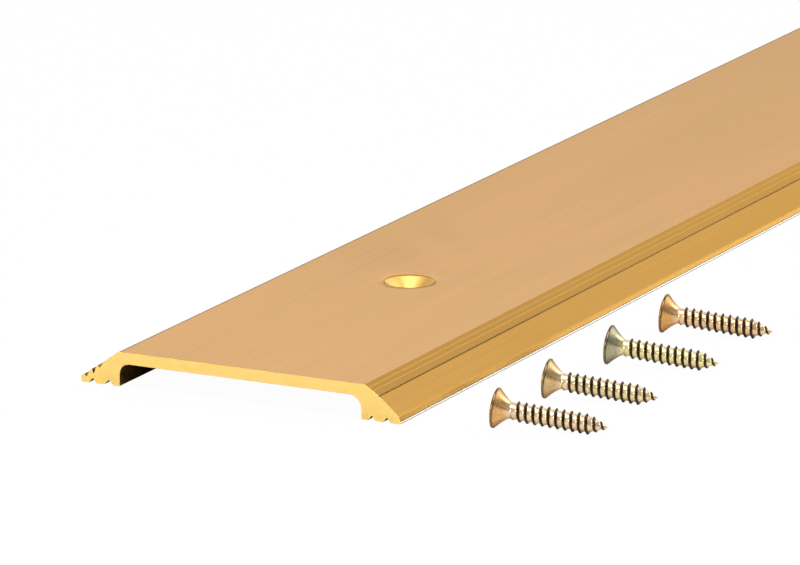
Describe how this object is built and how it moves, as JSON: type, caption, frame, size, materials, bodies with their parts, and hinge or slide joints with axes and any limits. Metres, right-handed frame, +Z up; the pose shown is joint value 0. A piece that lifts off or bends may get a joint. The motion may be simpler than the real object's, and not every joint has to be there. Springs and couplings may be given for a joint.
{
  "type": "threshold strip",
  "caption": "Saddle threshold for a doorway: flat-topped metal strip with bevelled, fluted edges on ribbed feet, countersunk for screws, with its loose screws beside it.",
  "frame": {"origin": "centre of the flat tread face, at mid-length and mid-width; the floor is 6.35 mm below it", "axes": "+X along the strip, away from the end where the screws lie; +Z up; -Y is the side where the screws lie"},
  "size_m": [0.9144, 0.0988, 0.0071],
  "materials": {
    "gold_anodised": "bright gold anodised, fine lengthwise draw lines",
    "screw_plating": "bright brass plated steel"
  },
  "bodies": {
    "strip": {"threshold_strip": "gold_anodised"},
    "loose_screw_1": {"screw_1": "screw_plating"},
    "loose_screw_2": {"screw_2": "screw_plating"},
    "loose_screw_3": {"screw_3": "screw_plating"},
    "loose_screw_4": {"screw_4": "screw_plating"}
  },
  "joints": [
    {"name": "screw_1_lift", "type": "slide", "parent": "strip", "child": "loose_screw_1", "axis": [0, 0, 1], "range_m": [0, 0.06]},
    {"name": "screw_2_lift", "type": "slide", "parent": "strip", "child": "loose_screw_2", "axis": [0, 0, 1], "range_m": [0, 0.06]},
    {"name": "screw_3_lift", "type": "slide", "parent": "strip", "child": "loose_screw_3", "axis": [0, 0, 1], "range_m": [0, 0.06]},
    {"name": "screw_4_lift", "type": "slide", "parent": "strip", "child": "loose_screw_4", "axis": [0, 0, 1], "range_m": [0, 0.06]}
  ]
}
